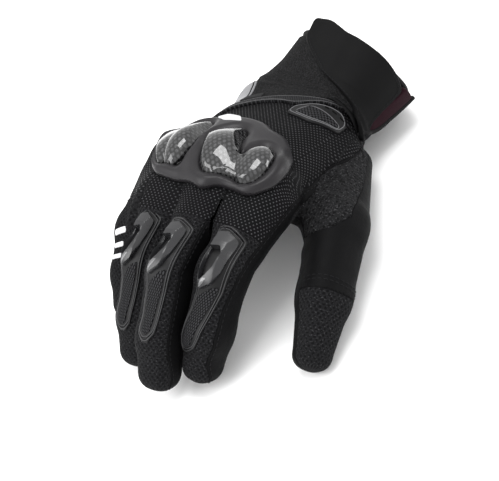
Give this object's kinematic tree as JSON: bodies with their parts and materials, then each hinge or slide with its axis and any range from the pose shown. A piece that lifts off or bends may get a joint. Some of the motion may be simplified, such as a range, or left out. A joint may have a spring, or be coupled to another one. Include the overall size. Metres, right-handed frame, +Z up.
{
  "type": "motorcycle riding glove",
  "caption": "Short-cuff right-hand riding glove with a domed knuckle guard, hinged finger and thumb stalls and a lift-up wrist strap.",
  "frame": {"origin": "centre of the glove's bounding box in plan, on the surface it rests on", "axes": "+Z up, away from the surface; fingers point towards -Y and the cuff opens towards +Y; thumb towards +X"},
  "size_m": [0.1219, 0.2159, 0.0746],
  "materials": {
    "fabric_back": "dotted stretch fabric",
    "fabric_mesh": "open air mesh",
    "leather": "fine-grained synthetic leather",
    "leather_pad": "suede-like reinforcement",
    "lining": "brushed lining",
    "foam": "closed-cell foam",
    "guard": "satin moulded armour",
    "carbon": "glossy carbon-look shell",
    "rubber_trim": "satin moulded rubber",
    "finger_guard": "satin moulded rubber",
    "emblem": "plain light inlay",
    "loop": "loop pile",
    "hook": "moulded hooks",
    "strap": "smooth strap",
    "reflective": "light reflective cloth",
    "binding": "woven binding"
  },
  "bodies": {
    "hand": {"back_panel": "fabric_back", "cuff_binding": "binding", "cuff_lining": "lining", "cuff_shell": "leather", "cuff_side_patch": "reflective", "finger_webs": "leather", "grip_patch": "leather_pad", "guard_emblem": "emblem", "hand_lining": "lining", "heel_pad": "leather_pad", "knuckle_foam": "foam", "knuckle_guard": "guard", "knuckle_shell_little_side": "carbon", "knuckle_shell_thumb_side": "carbon", "loop_panel": "loop", "palm_panel": "leather", "thumb_base_back": "fabric_mesh", "thumb_base_palm": "leather", "wrist_badge": "rubber_trim", "wrist_badge_plate": "fabric_mesh", "wrist_trim": "rubber_trim"},
    "index_root": {"index_root_back": "fabric_mesh", "index_root_palm": "leather", "index_guard_block": "finger_guard"},
    "index_tip": {"index_tip_back": "fabric_mesh", "index_tip_palm": "leather", "index_guard_tail": "finger_guard"},
    "middle_root": {"middle_root_back": "fabric_mesh", "middle_root_palm": "leather", "middle_guard_block": "finger_guard"},
    "middle_tip": {"middle_tip_back": "fabric_mesh", "middle_tip_palm": "leather", "middle_guard_tail": "finger_guard"},
    "ring_root": {"ring_root_back": "fabric_mesh", "ring_root_palm": "leather", "ring_guard_block": "finger_guard"},
    "ring_tip": {"ring_tip_back": "fabric_mesh", "ring_tip_palm": "leather", "ring_guard_tail": "finger_guard"},
    "little_root": {"little_root_back": "fabric_mesh", "little_root_palm": "leather"},
    "little_tip": {"little_tip_back": "fabric_mesh", "little_tip_palm": "leather"},
    "thumb_root": {"thumb_root_back": "fabric_mesh", "thumb_root_palm": "leather"},
    "thumb_tip": {"thumb_tip_back": "fabric_mesh", "thumb_tip_palm": "leather"},
    "strap": {"wrist_strap": "strap", "strap_hook_patch": "hook"}
  },
  "joints": [
    {"name": "index_knuckle", "type": "hinge", "parent": "hand", "child": "index_root", "pos_m": [0.01405, -0.03397, 0.04639], "axis": [0.999, -0.0401, 0.017], "range_deg": [-15, 45], "stiffness_Nm_per_rad": 0.8},
    {"name": "index_middle_joint", "type": "hinge", "parent": "index_root", "child": "index_tip", "pos_m": [0.01307, -0.06123, 0.04009], "axis": [0.999, -0.0401, 0.017], "range_deg": [-12, 45], "stiffness_Nm_per_rad": 0.8},
    {"name": "middle_knuckle", "type": "hinge", "parent": "hand", "child": "middle_root", "pos_m": [-0.00771, -0.03644, 0.05049], "axis": [0.9997, 0.0241, -0.0102], "range_deg": [-15, 45], "stiffness_Nm_per_rad": 0.8},
    {"name": "middle_middle_joint", "type": "hinge", "parent": "middle_root", "child": "middle_tip", "pos_m": [-0.00697, -0.06911, 0.0459], "axis": [0.9997, 0.0241, -0.0102], "range_deg": [-12, 45], "stiffness_Nm_per_rad": 0.8},
    {"name": "ring_knuckle", "type": "hinge", "parent": "hand", "child": "ring_root", "pos_m": [-0.03111, -0.03299, 0.0457], "axis": [1, 0, 0], "range_deg": [-15, 45], "stiffness_Nm_per_rad": 0.8},
    {"name": "ring_middle_joint", "type": "hinge", "parent": "ring_root", "child": "ring_tip", "pos_m": [-0.03111, -0.0621, 0.03844], "axis": [1, 0, 0], "range_deg": [-12, 45], "stiffness_Nm_per_rad": 0.8},
    {"name": "little_knuckle", "type": "hinge", "parent": "hand", "child": "little_root", "pos_m": [-0.05121, -0.02347, 0.04024], "axis": [0.9986, -0.0482, 0.0204], "range_deg": [-15, 45], "stiffness_Nm_per_rad": 0.8},
    {"name": "little_middle_joint", "type": "hinge", "parent": "little_root", "child": "little_tip", "pos_m": [-0.05209, -0.04448, 0.0338], "axis": [0.9986, -0.0482, 0.0204], "range_deg": [-12, 45], "stiffness_Nm_per_rad": 0.8},
    {"name": "thumb_knuckle", "type": "hinge", "parent": "hand", "child": "thumb_root", "pos_m": [0.03739, -0.00998, 0.02217], "axis": [0.5069, 0.2948, -0.81], "range_deg": [-15, 10], "stiffness_Nm_per_rad": 0.8},
    {"name": "thumb_end_joint", "type": "hinge", "parent": "thumb_root", "child": "thumb_tip", "pos_m": [0.04739, -0.0441, 0.01601], "axis": [0.49, 0.3512, -0.7979], "range_deg": [-12, 30], "stiffness_Nm_per_rad": 0.8},
    {"name": "strap_lift", "type": "hinge", "parent": "hand", "child": "strap", "pos_m": [0.02811, 0.07928, 0.0264], "axis": [0.2745, 0.9095, 0.3122], "range_deg": [0, 120]}
  ]
}
